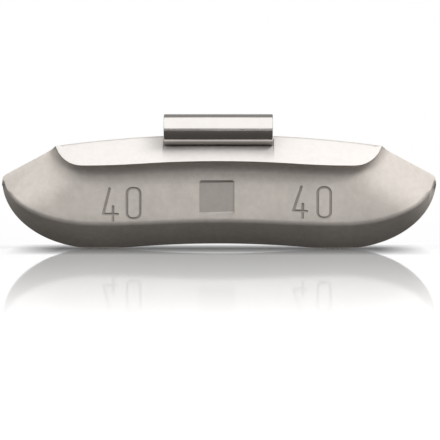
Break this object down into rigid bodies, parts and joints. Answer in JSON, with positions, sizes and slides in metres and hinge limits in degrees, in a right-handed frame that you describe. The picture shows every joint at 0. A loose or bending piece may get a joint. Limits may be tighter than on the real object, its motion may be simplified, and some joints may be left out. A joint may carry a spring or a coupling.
{
  "type": "wheel balance weight",
  "caption": "Clip-on balance weight for a steel wheel: a curved cast zinc body with pointed ends and a spring-steel clip.",
  "frame": {"origin": "centre of the clip's hook, where the edge of the rim flange sits, at the middle of the weight's length", "axes": "+X along the weight, -Y out of the marked front, +Z from the body up to the clip; the wheel's axis runs along Y, below the part"},
  "size_m": [0.078, 0.0088, 0.0242],
  "materials": {
    "cast_zinc": "cast zinc alloy, satin grey with a faint mottle",
    "plated_spring_steel": "bright plated spring steel"
  },
  "bodies": {
    "root": {"weight_body": "cast_zinc", "spring_clip": "plated_spring_steel"}
  },
  "joints": []
}
